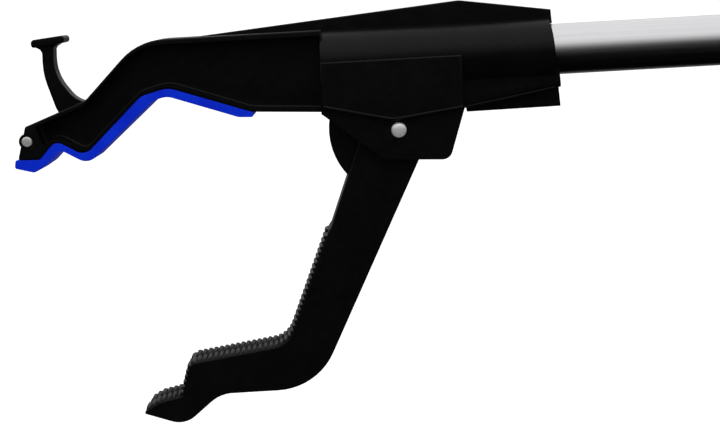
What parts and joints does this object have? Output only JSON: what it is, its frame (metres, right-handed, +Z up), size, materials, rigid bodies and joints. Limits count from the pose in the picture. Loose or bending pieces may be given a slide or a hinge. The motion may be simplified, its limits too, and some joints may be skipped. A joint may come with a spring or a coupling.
{
  "type": "reacher grabber",
  "caption": "Hand-held reacher: a trigger in the handle pulls a rod through a tube and closes a toothed jaw on a fixed rubber-lined jaw with a top hook and tip magnet.",
  "frame": {"origin": "on the tube's axis inside the handle, where the hand holds the tool; the tube's centre line is the X axis", "axes": "+X from the jaws to the handle along the tube, +Z up towards the hook and away from the pistol grip, +Y across the tool's width; the left side, which shows the screws, is -Y"},
  "size_m": [0.66, 0.026, 0.1569],
  "materials": {
    "black_plastic": "satin black moulded nylon or ABS",
    "blue_rubber": "soft bright blue rubber",
    "steel": "bright zinc-plated steel",
    "nickel": "nickel-plated magnet",
    "aluminium": "satin anodised aluminium",
    "nylon": "natural nylon"
  },
  "bodies": {
    "frame": {"jaw_frame": "black_plastic", "jaw_liner": "blue_rubber", "tip_magnet": "nickel", "jaw_pivot_pin": "steel", "jaw_pin_push_nut": "steel", "head_screw": "steel", "tube": "aluminium", "front_rod_guide": "nylon", "rear_rod_guide": "nylon", "spring_seat_washer": "steel", "return_spring": "steel", "left_handle_shell": "black_plastic", "right_handle_shell": "black_plastic", "trigger_pivot_pin": "steel", "shell_screw_1": "steel", "shell_screw_2": "steel", "shell_screw_3": "steel", "shell_screw_4": "steel", "shell_screw_5": "steel", "tube_screw": "steel"},
    "jaw": {"lower_jaw": "black_plastic"},
    "trigger": {"trigger": "black_plastic", "trigger_pad": "blue_rubber"},
    "rod": {"pull_rod": "steel", "front_fork": "steel", "front_fork_pin": "steel", "rear_fork": "steel", "rear_fork_pin": "steel", "spring_collar": "nylon"}
  },
  "joints": [
    {"name": "trigger_pull", "type": "hinge", "parent": "frame", "child": "trigger", "pos_m": [-0.057, 0, 0.0234], "axis": [0, -1, 0], "range_deg": [0, 28], "stiffness_Nm_per_rad": 0.307, "springref_deg": -20.51},
    {"name": "jaw_hinge", "type": "hinge", "parent": "frame", "child": "jaw", "pos_m": [-0.5283, 0, -0.0218], "axis": [0, 1, 0], "range_deg": [0, 42]},
    {"name": "rod_slide", "type": "slide", "parent": "frame", "child": "rod", "axis": [1, 0, 0], "range_m": [0, 0.0137], "deforming": ["return_spring"]}
  ],
  "couplings": [
    {"joint": "jaw_hinge", "follows": "trigger_pull", "ratio": 1.5},
    {"joint": "rod_slide", "follows": "trigger_pull", "m_per_rad": 0.027963}
  ]
}
